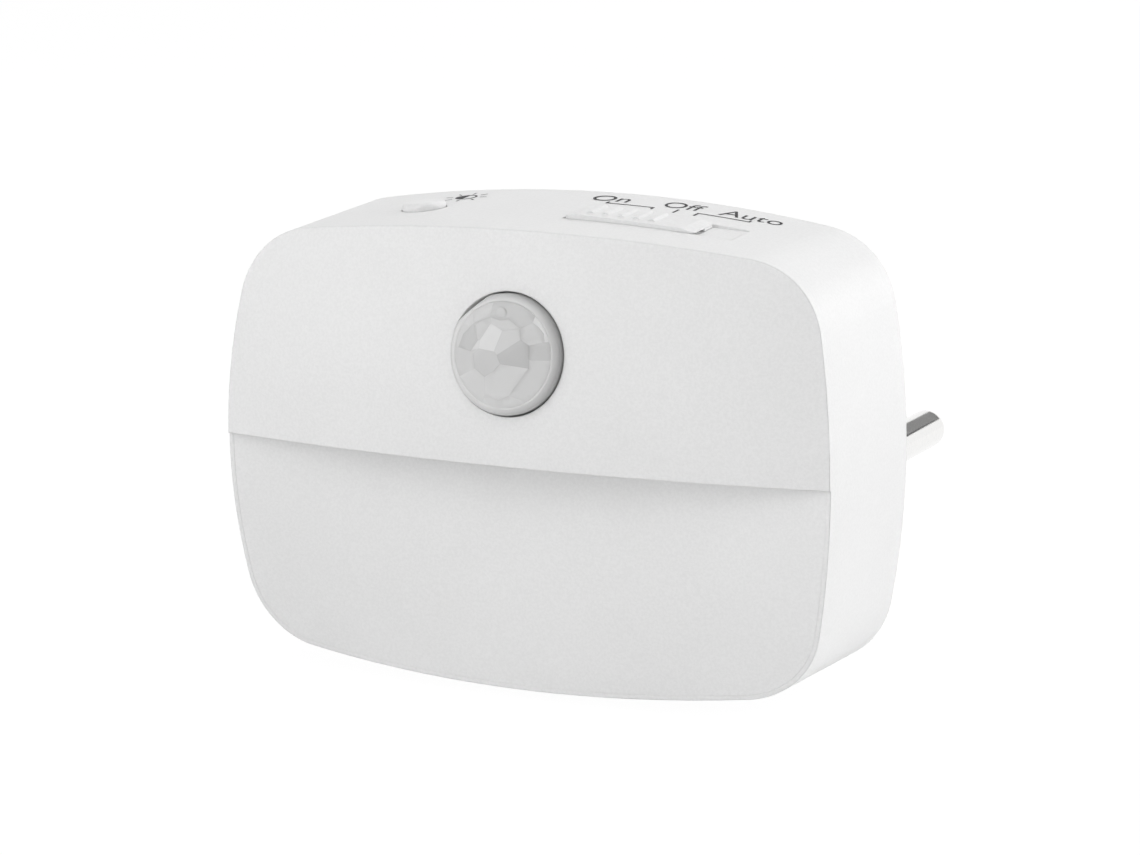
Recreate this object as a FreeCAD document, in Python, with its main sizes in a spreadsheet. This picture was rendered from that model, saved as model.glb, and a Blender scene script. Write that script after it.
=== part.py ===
import FreeCAD, Part
import math
import os
import Sketcher

# Plug-in motion sensor light: a white two-part casing with a lit lower face,
# a sensor dome in the upper face, a three-position slide switch and a
# brightness button on top, and a two-pin plug behind.
# X runs to the right, Y to the wall behind, Z up. The origin is the middle of the
# flat back, so a depth is measured forwards from the back, towards -Y.

Vector = FreeCAD.Vector
Placement = FreeCAD.Placement
Rotation = FreeCAD.Rotation

doc = FreeCAD.newDocument("MotionSensorLight")

# Driving dimensions, in millimetres unless the name says otherwise.
DIMENSIONS = [
    # Casing outline: convex arcs on all four sides, joined by corner arcs.
    ("front_width", 80),
    ("front_height", 56.1),
    ("back_width", 80.8),
    ("back_height", 58.9),
    ("front_rise", 3.4),
    ("back_rise", 4.4),
    ("side_rise", 4.3),
    ("corner_radius", 10.4),
    ("outline_depth", 24.2),
    ("corner_depth", 20.55),
    ("bulge_across", 3.7),
    ("bulge_upright", 3.5),
    ("wall", 1.8),
    # Lit lower face, scooped back under the ledge.
    ("ledge_height", 0.15),
    ("ledge_tuck", 3),
    ("ledge_step", 0.3),
    ("scoop_depth", 5.7),
    ("panel_thickness", 1.8),
    ("panel_lip", 0.6),
    # Rear cover and the posts that its screws bite into.
    ("cover_thickness", 2.2),
    ("cover_gap", 0.15),
    ("post_side_inset", 6.1),
    ("post_top_inset", 11.95),
    ("post_radius", 3.2),
    ("lower_post_length", 12),
    ("screw_radius", 1.2),
    ("screw_length", 8),
    ("screw_gap", 0.05),
    ("head_radius", 2),
    ("head_height", 1.3),
    ("slot_width", 0.7),
    ("slot_depth", 0.6),
    # Plug.
    ("plug_side_inset", 16.6),
    ("plug_up", -2.6),
    ("plug_base_depth", 9),
    ("plug_base_height", 16),
    ("plug_base_end", 3.7),
    ("pin_spacing", 19),
    ("pin_radius", 2.4),
    ("pin_length", 19),
    ("pin_root_radius", 2.6),
    ("pin_gap", 0.05),
    ("pin_tip_round", 1.9),
    ("collar_radius", 3.1),
    ("collar_height", 1),
    ("tail_radius", 1.2),
    ("tail_length", 2.8),
    ("clamp_thickness", 2.2),
    ("clamp_margin", 3.2),
    ("clamp_height", 14),
    ("clamp_screw_offset", 5),
    ("clamp_screw_length", 6),
    ("clamp_head_height", 1.1),
    ("contact_thickness", 0.4),
    ("contact_width", 5),
    ("contact_foot", 5),
    ("contact_pad", 2.2),
    ("contact_reach", 3),
    # Main board.
    ("board_front", 9.9),
    ("board_thickness", 1.6),
    ("board_side_gap", 10.4),
    ("board_top_gap", 6.85),
    ("board_bottom_gap", 7.45),
    ("board_corner", 5),
    ("board_post_inset", 3.5),
    ("board_post_drop", 6.6),
    ("board_post_radius", 2.75),
    ("board_screw_length", 7),
    ("board_hole_gap", 0.25),
    # Light source.
    ("led_width", 3.5),
    ("led_height", 2.8),
    ("led_thickness", 0.8),
    ("led_pitch_across", 19),
    ("led_pitch_up", 6.4),
    ("light_centre", -11.6),
    ("reflector_wall", 1),
    ("reflector_gap", 1.2),
    ("reflector_back_width", 52),
    ("reflector_back_height", 13),
    ("reflector_front_width", 61),
    ("reflector_front_height", 20),
    ("reflector_corner", 3),
    # Sensor dome.
    ("lens_across", 0.1),
    ("lens_drop", 14.45),
    ("lens_hole_radius", 7.45),
    ("lens_radius", 7.15),
    ("lens_rise", 1.25),
    ("lens_crown", 2.05),
    ("lens_shoulder", 0.6),
    ("lens_wall", 0.7),
    ("flange_radius", 8.4),
    ("flange_thickness", 0.8),
    ("flange_gap", 0.2),
    ("lens_seat", 1.75),
    ("lens_collar_wall", 1.5),
    ("lens_collar_length", 3.6),
    ("ring_thickness", 1.8),
    ("ring_opening", 6.1),
    ("sensor_lower", 1.65),
    ("sensor_stand_off", 2),
    ("sensor_base_radius", 4.6),
    ("sensor_base_thickness", 0.5),
    ("sensor_can_radius", 4.15),
    ("sensor_can_height", 4),
    ("sensor_lead_radius", 0.3),
    ("sensor_lead_circle", 2.5),
    ("window_width", 4),
    ("window_height", 3),
    ("window_thickness", 0.4),
    ("light_sensor_across", 5.5),
    ("light_sensor_down", 3.6),
    ("light_sensor_radius", 1.5),
    ("light_sensor_rim", 1.75),
    ("light_sensor_rim_height", 0.6),
    ("light_sensor_stand_off", 0.6),
    ("light_sensor_height", 3.2),
    ("light_sensor_round", 1.2),
    # Slide switch on top.
    ("slide_across", 13.2),
    ("slide_depth", 13.2),
    ("slide_travel", 4.4),
    ("knob_length", 16.9),
    ("knob_width", 6),
    ("knob_top", 0.42),
    ("knob_sink", 0.32),
    ("knob_bevel", 1.6),
    ("knob_corner", 0.7),
    ("foot_slot_depth", 0.8),
    ("foot_slot_height", 0.27),
    ("runner_inset", 3.2),
    ("runner_gap", 0.05),
    ("bed_depth", 0.42),
    ("bed_end_gap", 0.25),
    ("bed_side_gap", 0.06),
    ("rib_count", 5),
    ("rib_pitch", 2),
    ("rib_width", 1.5),
    ("rib_height", 0.24),
    ("rib_start", 2.7),
    ("rib_front_inset", 1.5),
    ("rib_back_inset", 0.3),
    ("stem_length", 3.2),
    ("stem_width", 2.6),
    ("stem_reach", 4.8),
    ("stem_gap", 0.2),
    ("fork_depth", 1.6),
    ("keeper_length", 8),
    ("keeper_width", 5.4),
    ("keeper_thickness", 0.8),
    ("keeper_top", 2.45),
    ("lever_length", 2),
    ("lever_width", 1.6),
    ("lever_top", 3.4),
    ("lever_depth", 1.6),
    ("lever_clearance", 0.3),
    ("switch_top", 5.4),
    ("switch_length", 13),
    ("switch_height", 4.6),
    # Brightness button on top.
    ("button_across", -18.45),
    ("button_depth", 12.15),
    ("button_radius", 2.7),
    ("button_height", 0.85),
    ("button_round", 0.55),
    ("button_gap", 0.15),
    ("button_travel", 0.5),
    ("button_skirt", 2.4),
    ("button_flange_radius", 4.2),
    ("button_flange_thickness", 0.7),
    ("button_stem_radius", 1.2),
    ("button_stem_reach", 5.3),
    ("tact_top", 6.5),
    ("tact_height", 3.5),
    ("tact_width", 6.2),
    ("tact_depth", 4.4),
    ("plunger_radius", 1),
    ("plunger_depth", 1.2),
    ("plunger_clearance", 0.1),
    # Parts on the back of the board.
    ("dropper_length", 13),
    ("dropper_height", 11),
    ("dropper_thickness", 5),
    ("dropper_across", -17.5),
    ("dropper_up", -10.5),
    ("filter_radius", 2.5),
    ("filter_length", 11),
    ("filter_across", -17),
    ("filter_up", 6),
    ("rectifier_length", 4.7),
    ("rectifier_height", 3.9),
    ("rectifier_thickness", 2.4),
    ("rectifier_across", -3),
    ("rectifier_up", -9),
    ("chip_length", 8.7),
    ("chip_height", 3.9),
    ("chip_thickness", 1.5),
    ("chip_across", 0),
    ("chip_up", 13),
    ("chip_leg_width", 0.5),
    ("chip_leg_reach", 1.05),
    ("chip_leg_pitch", 1.27),
    ("chip_leg_count", 7),
    ("resistor_radius", 1.2),
    ("resistor_length", 6.3),
    ("resistor_lead_radius", 0.3),
    ("resistor_lead_length", 2.2),
    ("resistor_leg_radius", 0.35),
    ("fuse_resistor_across", 4),
    ("fuse_resistor_up", -13),
    ("bleed_resistor_across", -3),
    ("bleed_resistor_up", 1),
    ("solder_gap", 0.3),
]

sheet = doc.addObject("Spreadsheet::Sheet", "Sizes")
for row, (name, value) in enumerate(DIMENSIONS, start=1):
    sheet.set("A%d" % row, name)
    sheet.set("B%d" % row, str(value))
    sheet.setAlias("B%d" % row, name)
doc.recompute()


class Size:
    """A length that keeps both its value and the sheet expression behind it."""

    def __init__(self, value, text=None):
        self.value = float(value)
        self.text = text or "(%r)" % float(value)

    def join(self, other, sign, swap=False):
        other = other if isinstance(other, Size) else Size(other)
        left, right = (other, self) if swap else (self, other)
        values = {
            "+": lambda: left.value + right.value,
            "-": lambda: left.value - right.value,
            "*": lambda: left.value * right.value,
            "/": lambda: left.value / right.value,
        }
        return Size(values[sign](), "(%s %s %s)" % (left.text, sign, right.text))

    def __add__(self, other):
        return self.join(other, "+")

    def __radd__(self, other):
        return self.join(other, "+", True)

    def __sub__(self, other):
        return self.join(other, "-")

    def __rsub__(self, other):
        return self.join(other, "-", True)

    def __mul__(self, other):
        return self.join(other, "*")

    def __rmul__(self, other):
        return self.join(other, "*", True)

    def __truediv__(self, other):
        return self.join(other, "/")

    def __neg__(self):
        return self * -1


def size(name):
    return Size(sheet.get(name), "Sizes." + name)


def bind(target, prop, length):
    """Set a property to a size, as an expression where the sheet is behind it."""
    length = length if isinstance(length, Size) else Size(length)
    target.setExpression(prop, length.text)


def place(target, x, y, z, rotation=Rotation()):
    """Put an object at x, y, z, with the position bound to the sheet."""
    lengths = [c if isinstance(c, Size) else Size(c) for c in (x, y, z)]
    target.Placement = Placement(Vector(*[c.value for c in lengths]), rotation)
    for axis, length in zip("xyz", lengths):
        bind(target, "Placement.Base." + axis, length)
    return target


# Places that follow the casing's width and height.
POST_ACROSS = size("back_width") / 2 - size("post_side_inset")
POST_UP = size("back_height") / 2 - size("post_top_inset")
PLUG_ACROSS = size("back_width") / 2 - size("plug_side_inset")
BOARD_HALF = size("back_width") / 2 - size("board_side_gap")
BOARD_TOP = size("back_height") / 2 - size("board_top_gap")
BOARD_BOTTOM = size("back_height") / 2 - size("board_bottom_gap")
BOARD_POST_ACROSS = BOARD_HALF - size("board_post_inset")
BOARD_POST_UP = BOARD_TOP - size("board_post_drop")
LENS_UP = size("front_height") / 2 - size("lens_drop")
SENSOR_UP = LENS_UP - size("sensor_lower")

# Body features, each drawn in its own body's frame.

def new_body(label):
    body = doc.addObject("PartDesign::Body", label)
    body.Label = label
    return body


def new_sketch(body, role, offset=0):
    """A sketch on one of the body's own planes, moved along the plane's normal."""
    sketch = body.newObject("Sketcher::SketchObject", body.Name + "_sketch")
    plane = next(f for f in body.Origin.OriginFeatures if f.Role == role)
    sketch.AttachmentSupport = (plane, [""])
    sketch.MapMode = "FlatFace"
    bind(sketch, "AttachmentOffset.Base.z", offset)
    return sketch


def fix_point(sketch, geometry, position, x, y):
    """Dimension one sketch point from the sketch's origin."""
    for kind, length in (("DistanceX", x), ("DistanceY", y)):
        length = length if isinstance(length, Size) else Size(length)
        parts = (kind, -1, 1, geometry, position, length.value)
        index = sketch.addConstraint(Sketcher.Constraint(*parts))
        sketch.setExpression("Constraints[%d]" % index, length.text)


def add_polygon(sketch, points):
    """A closed outline through points whose coordinates are sizes."""
    start = sketch.GeometryCount
    count = len(points)
    flat = []
    for x, y in points:
        flat.append(Vector(getattr(x, "value", x), getattr(y, "value", y), 0))
    for i in range(count):
        sketch.addGeometry(Part.LineSegment(flat[i], flat[(i + 1) % count]), False)
    for i in range(count):
        joint = ("Coincident", start + i, 2, start + (i + 1) % count, 1)
        sketch.addConstraint(Sketcher.Constraint(*joint))
    for i, (x, y) in enumerate(points):
        fix_point(sketch, start + i, 1, x, y)
    return sketch


def add_rectangle(sketch, x, y, width, height):
    """A rectangle centred on x, y."""
    left, right = x - width / 2, x + width / 2
    low, high = y - height / 2, y + height / 2
    return add_polygon(sketch, [(left, low), (right, low), (right, high), (left, high)])


def add_circle(sketch, x, y, radius):
    centre = Vector(getattr(x, "value", x), getattr(y, "value", y), 0)
    index = sketch.addGeometry(Part.Circle(centre, Vector(0, 0, 1), radius.value), False)
    fix_point(sketch, index, 3, x, y)
    line = sketch.addConstraint(Sketcher.Constraint("Radius", index, radius.value))
    sketch.setExpression("Constraints[%d]" % line, radius.text)
    return sketch


def pad(body, sketch, length, symmetric=False, backwards=False):
    feature = body.newObject("PartDesign::Pad", body.Name + "_pad")
    feature.Profile = sketch
    bind(feature, "Length", length)
    feature.SideType = "Symmetric" if symmetric else "One side"
    feature.Reversed = backwards
    return feature


def pocket(body, sketch, length, backwards=False):
    feature = body.newObject("PartDesign::Pocket", body.Name + "_pocket")
    feature.Profile = sketch
    bind(feature, "Length", length)
    feature.Reversed = backwards
    return feature


def turn(body, sketch):
    """A full turn about the sketch's upright axis."""
    feature = body.newObject("PartDesign::Revolution", body.Name + "_turn")
    feature.Profile = sketch
    feature.ReferenceAxis = (sketch, ["V_Axis"])
    feature.Angle = 360
    return feature


def round_edges(body, feature, radius, chosen):
    """Round the edges of a feature that the function chosen picks."""
    doc.recompute()
    names = []
    for number, edge in enumerate(feature.Shape.Edges, start=1):
        if chosen(edge):
            names.append("Edge%d" % number)
    fillet = body.newObject("PartDesign::Fillet", body.Name + "_round")
    fillet.Base = (feature, names)
    bind(fillet, "Radius", radius)
    return fillet


# Plain solids, for pieces that are made of boxes, cylinders and balls.

def new_box(name, length, width, height):
    box = doc.addObject("Part::Box", name)
    bind(box, "Length", length)
    bind(box, "Width", width)
    bind(box, "Height", height)
    return box


def new_cylinder(name, radius, height):
    cylinder = doc.addObject("Part::Cylinder", name)
    bind(cylinder, "Radius", radius)
    bind(cylinder, "Height", height)
    return cylinder


def new_fuse(name, shapes):
    fuse = doc.addObject("Part::MultiFuse", name)
    fuse.Shapes = shapes
    return fuse


def new_cut(name, base, tool):
    cut = doc.addObject("Part::Cut", name)
    cut.Base = base
    cut.Tool = tool
    return cut


def new_group(label, shapes):
    """Separate identical solids kept together as one sub-part."""
    group = doc.addObject("Part::Compound", label)
    group.Links = shapes
    group.Label = label
    return group


# Directions: along the board's front, and out of the flat back.
FORWARDS = Rotation(Vector(1, 0, 0), 90)
BACKWARDS = Rotation(Vector(1, 0, 0), -90)
PIECES = []


def keep(piece):
    """List a finished sub-part under its own label."""
    PIECES.append(piece)
    return piece


# Casing geometry.

def outline(depth, inset):
    """The casing outline at a depth, as eight tangent arcs, moved in by inset."""
    share = depth / size("outline_depth").value
    across = [size("back_width").value, size("front_width").value]
    upright = [size("back_height").value, size("front_height").value]
    rises = [size("back_rise").value, size("front_rise").value]
    half_x = (across[0] + (across[1] - across[0]) * share) / 2
    half_z = (upright[0] + (upright[1] - upright[0]) * share) / 2
    rise = rises[0] + (rises[1] - rises[0]) * share
    side = size("side_rise").value
    corner = size("corner_radius").value
    top_radius = (half_x ** 2 + rise ** 2) / (2 * rise)
    side_radius = (half_z ** 2 + side ** 2) / (2 * side)
    top_centre = Vector(0, -depth, half_z - top_radius)
    side_centre = Vector(half_x - side_radius, -depth, 0)
    # The corner arc's centre lies where it touches both long arcs from inside.
    reach_top = top_radius - corner
    reach_side = side_radius - corner
    link = side_centre - top_centre
    gap = link.Length
    along = (reach_top ** 2 - reach_side ** 2 + gap ** 2) / (2 * gap)
    off = math.sqrt(reach_top ** 2 - along ** 2)
    unit = Vector(link).normalize()
    normal = Vector(-unit.z, 0, unit.x)
    options = [top_centre + unit * along + normal * (s * off) for s in (1, -1)]
    corner_centre = max(options, key=lambda p: p.x + p.z)
    top_touch = Vector(corner_centre - top_centre).normalize()
    side_touch = Vector(corner_centre - side_centre).normalize()

    def mirrored(vector, sx, sz):
        return Vector(vector.x * sx, vector.y, vector.z * sz)

    def arc(centre, radius, start, end):
        middle = Vector(start + end).normalize()
        points = [centre + d * (radius - inset) for d in (start, middle, end)]
        return Part.Arc(*points).toShape()

    quarter_signs = [(1, 1), (1, -1), (-1, -1), (-1, 1)]
    edges = []
    for index, (sx, sz) in enumerate(quarter_signs):
        centre = mirrored(corner_centre, sx, sz)
        top_way = mirrored(top_touch, sx, sz)
        side_way = mirrored(side_touch, sx, sz)
        if index % 2 == 0:
            edges.append(arc(centre, corner, top_way, side_way))
            long_centre = mirrored(side_centre, sx, 1)
            edges.append(arc(long_centre, side_radius, side_way, mirrored(side_way, 1, -1)))
        else:
            edges.append(arc(centre, corner, side_way, top_way))
            long_centre = mirrored(top_centre, 1, sz)
            edges.append(arc(long_centre, top_radius, top_way, mirrored(top_way, -1, 1)))
    return Part.Wire(edges)


def prism(inset, shallow, deep):
    """The tapering block inside the outline between two depths."""
    return Part.makeLoft([outline(shallow, inset), outline(deep, inset)], True, True)


def face_depth(x, z):
    """Depth of the unbroken, convex front face."""
    half_x = size("front_width").value / 2
    half_z = size("front_height").value / 2
    across = size("bulge_across").value * (1 - (x / half_x) ** 2)
    upright = size("bulge_upright").value * (1 - (z / half_z) ** 2)
    return size("corner_depth").value + across + upright


def panel_depth(x, z):
    """Depth of the lower face: scooped most under the ledge, not at all below."""
    half_x = size("front_width").value / 2
    bottom = -size("front_height").value / 2
    ledge = size("ledge_height").value
    fade = (z - bottom) / (ledge - bottom)
    scoop = size("ledge_step").value + size("scoop_depth").value * (1 - (x / half_x) ** 2)
    return face_depth(x, z) - scoop * fade


def curved_sheet(depth_at):
    """The smooth surface of a depth that is quadratic in x and in z."""
    half_x = size("back_width").value * 0.6
    half_z = size("back_height").value * 0.6
    xs = [-half_x, 0, half_x]
    zs = [-half_z, 0, half_z]
    samples = [[depth_at(x, z) for z in zs] for x in xs]

    def middle(a, b, c):
        return 2 * b - (a + c) / 2

    rows = [[r[0], middle(*r), r[2]] for r in samples]
    columns = list(zip(*rows))
    poles = [[c[0], middle(*c), c[2]] for c in columns]
    surface = Part.BezierSurface()
    surface.increase(2, 2)
    for i in range(3):
        for j in range(3):
            surface.setPole(i + 1, j + 1, Vector(xs[i], -poles[j][i], zs[j]))
    return surface.toShape()


def slab(depth_at, start, end):
    """Solid between two copies of a curved face, start and end behind it."""
    face = curved_sheet(depth_at)
    face.translate(Vector(0, start, 0))
    return face.extrude(Vector(0, end - start, 0))


def half_space(low, high):
    """A large block between two heights."""
    wide = size("back_width").value * 2
    long = size("corner_depth").value * 6
    return Part.makeBox(wide, long, high - low, Vector(-wide / 2, -long / 2, low))


def top_height(x, depth):
    """Height of the casing's top at x and a depth."""
    share = depth / size("outline_depth").value
    heights = [size("back_height").value, size("front_height").value]
    widths = [size("back_width").value, size("front_width").value]
    rises = [size("back_rise").value, size("front_rise").value]
    half_z = (heights[0] + (heights[1] - heights[0]) * share) / 2
    half_x = (widths[0] + (widths[1] - widths[0]) * share) / 2
    rise = rises[0] + (rises[1] - rises[0]) * share
    return half_z - rise * (x / half_x) ** 2


def top_tilt(x, depth):
    """Angle of the top across the casing, in degrees, positive falling to +X."""
    step = 0.01
    fall = top_height(x - step, depth) - top_height(x + step, depth)
    return math.degrees(math.atan2(fall, 2 * step))


def top_pitch(x, depth):
    """Angle at which the top rises towards the back, in degrees."""
    step = 0.01
    rise = top_height(x, depth - step) - top_height(x, depth + step)
    return math.degrees(math.atan2(rise, 2 * step))


REACH = size("outline_depth").value * 1.4
LEDGE = size("ledge_height").value
WALL = size("wall").value
PANEL = size("panel_thickness").value
BACK = REACH * 2
TALL = size("back_height").value
PANEL_AT_LEDGE = panel_depth(0, LEDGE)
SHELF_DEPTH = PANEL_AT_LEDGE - PANEL - size("ledge_tuck").value
COVER = size("cover_thickness").value
THROUGH = 5 * WALL

# Frames on the casing's skin: for the slide switch, its sunk bed, the button and the dome.
slide_x = size("slide_across").value
slide_y = size("slide_depth").value
slide_tilt = Rotation(Vector(0, 1, 0), top_tilt(slide_x, slide_y))
slide_origin = Vector(slide_x, -slide_y, top_height(slide_x, slide_y))
SLIDE = Placement(slide_origin, slide_tilt)
bed_pitch = Rotation(Vector(1, 0, 0), top_pitch(slide_x, slide_y))
BED = SLIDE.multiply(Placement(Vector(), bed_pitch))

button_x = size("button_across").value
button_y = size("button_depth").value
button_tilt = Rotation(Vector(0, 1, 0), top_tilt(button_x, button_y))
button_origin = Vector(button_x, -button_y, top_height(button_x, button_y))
BUTTON = Placement(button_origin, button_tilt)

lens_x = size("lens_across").value
lens_z = LENS_UP.value
lens_rise_slope = face_depth(lens_x, lens_z - 0.01) - face_depth(lens_x, lens_z + 0.01)
lens_lean = math.degrees(math.atan2(lens_rise_slope, 0.02))
lens_origin = Vector(lens_x, -face_depth(lens_x, lens_z), lens_z)
LENS = Placement(lens_origin, Rotation(Vector(1, 0, 0), 90 - lens_lean))


def feature(label, shape, placement=Placement()):
    """A sub-part whose shape is worked out from the sheet above."""
    piece = doc.addObject("Part::Feature", label)
    piece.Shape = shape
    piece.Placement = placement
    piece.Label = label
    return keep(piece)


def depth_cylinder(x, z, radius, shallow, deep):
    """A cylinder along the depth, between two depths."""
    foot = Vector(x, -shallow, z)
    return Part.makeCylinder(radius, deep - shallow, foot, Vector(0, -1, 0))


def local_box(frame, centre, lengths):
    """A box centred on a point of a frame, along the frame's own axes."""
    corner = Vector(*[c - l / 2 for c, l in zip(centre, lengths)])
    box = Part.makeBox(*lengths, corner)
    box.Placement = frame
    return box


def local_cylinder(frame, radius, low, high):
    """A cylinder about a frame's own upright axis."""
    cylinder = Part.makeCylinder(radius, high - low, Vector(0, 0, low))
    cylinder.Placement = frame
    return cylinder


def post_places():
    across = POST_ACROSS.value
    up = POST_UP.value
    return [(sx * across, sz * up) for sx in (-1, 1) for sz in (1, -1)]


def board_post_places():
    across = BOARD_POST_ACROSS.value
    return [(side * across, BOARD_POST_UP.value) for side in (-1, 1)]


def panel_space(start, end):
    """The room of the lit lower face, between two distances behind its front."""
    room = prism(size("panel_lip").value, -1, REACH).common(slab(panel_depth, start, end))
    return room.common(half_space(-TALL, LEDGE))


def build_housing():
    """The casing: side walls, upper face, ledge and the posts inside."""
    skin = slab(face_depth, 0, BACK)
    body = prism(0, 0, REACH).common(skin)
    ahead = slab(panel_depth, -BACK, 0).common(half_space(-TALL, LEDGE))
    body = body.cut(ahead)

    inner = prism(WALL, -1, REACH)
    upper = inner.common(slab(face_depth, WALL, BACK)).common(half_space(LEDGE + WALL, TALL))
    lower = inner.common(slab(panel_depth, PANEL, BACK)).common(half_space(-TALL, LEDGE))
    behind = Part.makeBox(4 * TALL, 4 * TALL, 4 * TALL, Vector(-2 * TALL, -SHELF_DEPTH, -2 * TALL))
    room = upper.fuse([lower, inner.common(behind)])
    shell = body.cut(room)

    # Posts for the rear cover stand against the side walls, the upper ones on the face.
    posts = []
    for x, z in post_places():
        deep = REACH if z > 0 else COVER + size("lower_post_length").value
        posts.append(depth_cylinder(x, z, size("post_radius").value, COVER, deep))
    for x, z in board_post_places():
        radius = size("board_post_radius").value
        posts.append(depth_cylinder(x, z, radius, size("board_front").value, REACH))
    collar_radius = size("flange_radius").value + size("flange_gap").value
    collar_outer = collar_radius + size("lens_collar_wall").value
    collar_low = -size("lens_seat").value - size("lens_collar_length").value
    posts.append(local_cylinder(LENS, collar_outer, collar_low, 0))
    added = posts[0].fuse(posts[1:]).common(body)
    shell = shell.fuse(added)

    cuts = [panel_space(-BACK, PANEL)]
    for x, z in post_places():
        pilot = size("screw_radius").value + size("screw_gap").value
        cuts.append(depth_cylinder(x, z, pilot, 0, COVER + size("screw_length").value))
    for x, z in board_post_places():
        pilot = size("screw_radius").value + size("screw_gap").value
        start = size("board_front").value
        end = start + size("board_screw_length").value
        cuts.append(depth_cylinder(x, z, pilot, start - 1, end))
    cuts.append(local_cylinder(LENS, size("lens_hole_radius").value, -THROUGH, THROUGH))
    cuts.append(local_cylinder(LENS, collar_radius, -THROUGH, -size("lens_seat").value))

    # Sunk bed and stem slot of the slide switch.
    bed_length = size("knob_length").value + size("slide_travel").value + 2 * size("bed_end_gap").value
    bed_width = size("knob_width").value + 2 * size("bed_side_gap").value
    bed_floor = size("bed_depth").value
    cuts.append(local_box(BED, (0, 0, THROUGH / 2 - bed_floor), (bed_length, bed_width, THROUGH)))
    slot_length = size("stem_length").value + size("slide_travel").value + 2 * size("stem_gap").value
    slot_width = size("stem_width").value + 2 * size("stem_gap").value
    cuts.append(local_box(BED, (0, 0, 0), (slot_length, slot_width, THROUGH)))
    hole = size("button_radius").value + size("button_gap").value
    cuts.append(local_cylinder(BUTTON, hole, -THROUGH / 2, THROUGH / 2))
    return shell.cut(cuts)


def build_rear_cover():
    """The flat back, with the plug base that stands out of it."""
    inset = WALL + size("cover_gap").value
    plate = prism(inset, 0, COVER)
    base_depth = size("plug_base_depth").value
    round_radius = size("plug_base_height").value / 2
    half = size("pin_spacing").value / 2 + size("plug_base_end").value - round_radius
    x, z = PLUG_ACROSS.value, size("plug_up").value
    ends = [depth_cylinder(x + s * half, z, round_radius, -base_depth, COVER) for s in (-1, 1)]
    corner = Vector(x - half, -COVER, z - round_radius)
    middle = Part.makeBox(2 * half, COVER + base_depth, 2 * round_radius, corner)
    cover = plate.fuse(ends + [middle]).removeSplitter()
    cuts = []
    pin_hole = size("pin_root_radius").value + size("pin_gap").value
    for side in (-1, 1):
        pin_x = x + side * size("pin_spacing").value / 2
        cuts.append(depth_cylinder(pin_x, z, pin_hole, -base_depth - 1, COVER + 1))
        screw_z = z + side * size("clamp_screw_offset").value
        pilot = size("screw_radius").value + size("screw_gap").value
        reach = size("clamp_screw_length").value - COVER - size("clamp_thickness").value
        cuts.append(depth_cylinder(x, screw_z, pilot, -reach - COVER, COVER + 1))
    for post_x, post_z in post_places():
        pilot = size("screw_radius").value + size("screw_gap").value
        head = size("head_radius").value + size("screw_gap").value
        cuts.append(depth_cylinder(post_x, post_z, pilot, -1, COVER + 1))
        cuts.append(depth_cylinder(post_x, post_z, head, -1, size("head_height").value))
    return cover.cut(cuts)


def build_light_panel():
    """The lit lower face, held between the ledge and the casing's lip."""
    return panel_space(0, PANEL)


feature("housing", build_housing())
feature("light_panel", build_light_panel())
feature("rear_cover", build_rear_cover())


# Plug.

def build_pin(label, side):
    """A round plug pin with a rounded tip, a thicker root, a collar and a tail."""
    pin = new_body(label)
    radius = size("pin_radius")
    root = size("pin_root_radius")
    mouth = size("plug_base_depth")
    tip = mouth + size("pin_length")
    inner = -size("cover_thickness")
    collar = inner - size("collar_height")
    tail = collar - size("tail_length")
    profile = [
        (0, tail),
        (size("tail_radius"), tail),
        (size("tail_radius"), collar),
        (size("collar_radius"), collar),
        (size("collar_radius"), inner),
        (root, inner),
        (root, mouth),
        (radius, mouth),
        (radius, tip),
        (0, tip),
    ]
    sketch = add_polygon(new_sketch(pin, "XZ_Plane"), profile)
    solid = turn(pin, sketch)
    far = tip.value

    def at_tip(edge):
        low, high = edge.BoundBox.ZMin, edge.BoundBox.ZMax
        return abs(low - far) < 0.01 and abs(high - far) < 0.01 and len(edge.Vertexes) == 1

    round_edges(pin, solid, size("pin_tip_round"), at_tip)
    x = PLUG_ACROSS + side * size("pin_spacing") / 2
    return keep(place(pin, x, 0, size("plug_up"), BACKWARDS))


build_pin("left_pin", -1)
build_pin("right_pin", 1)

# Clamp plate that holds both pin collars against the inside of the rear cover.
clamp = new_body("pin_clamp")
clamp_length = size("pin_spacing") + 2 * size("clamp_margin")
clamp_sketch = new_sketch(clamp, "XZ_Plane", size("cover_thickness"))
clamp_height = size("clamp_height")
add_rectangle(clamp_sketch, PLUG_ACROSS, size("plug_up"), clamp_length, clamp_height)
for side in (-1, 1):
    pin_x = PLUG_ACROSS + side * size("pin_spacing") / 2
    add_circle(clamp_sketch, pin_x, size("plug_up"), size("tail_radius") + size("pin_gap"))
    screw_z = size("plug_up") + side * size("clamp_screw_offset")
    add_circle(clamp_sketch, PLUG_ACROSS, screw_z, size("screw_radius") + size("screw_gap"))
pad(clamp, clamp_sketch, size("clamp_thickness"))
collar_sketch = new_sketch(clamp, "XZ_Plane", size("cover_thickness"))
for side in (-1, 1):
    pin_x = PLUG_ACROSS + side * size("pin_spacing") / 2
    add_circle(collar_sketch, pin_x, size("plug_up"), size("collar_radius") + size("pin_gap"))
pocket(clamp, collar_sketch, size("collar_height"), backwards=True)
keep(clamp)


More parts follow.
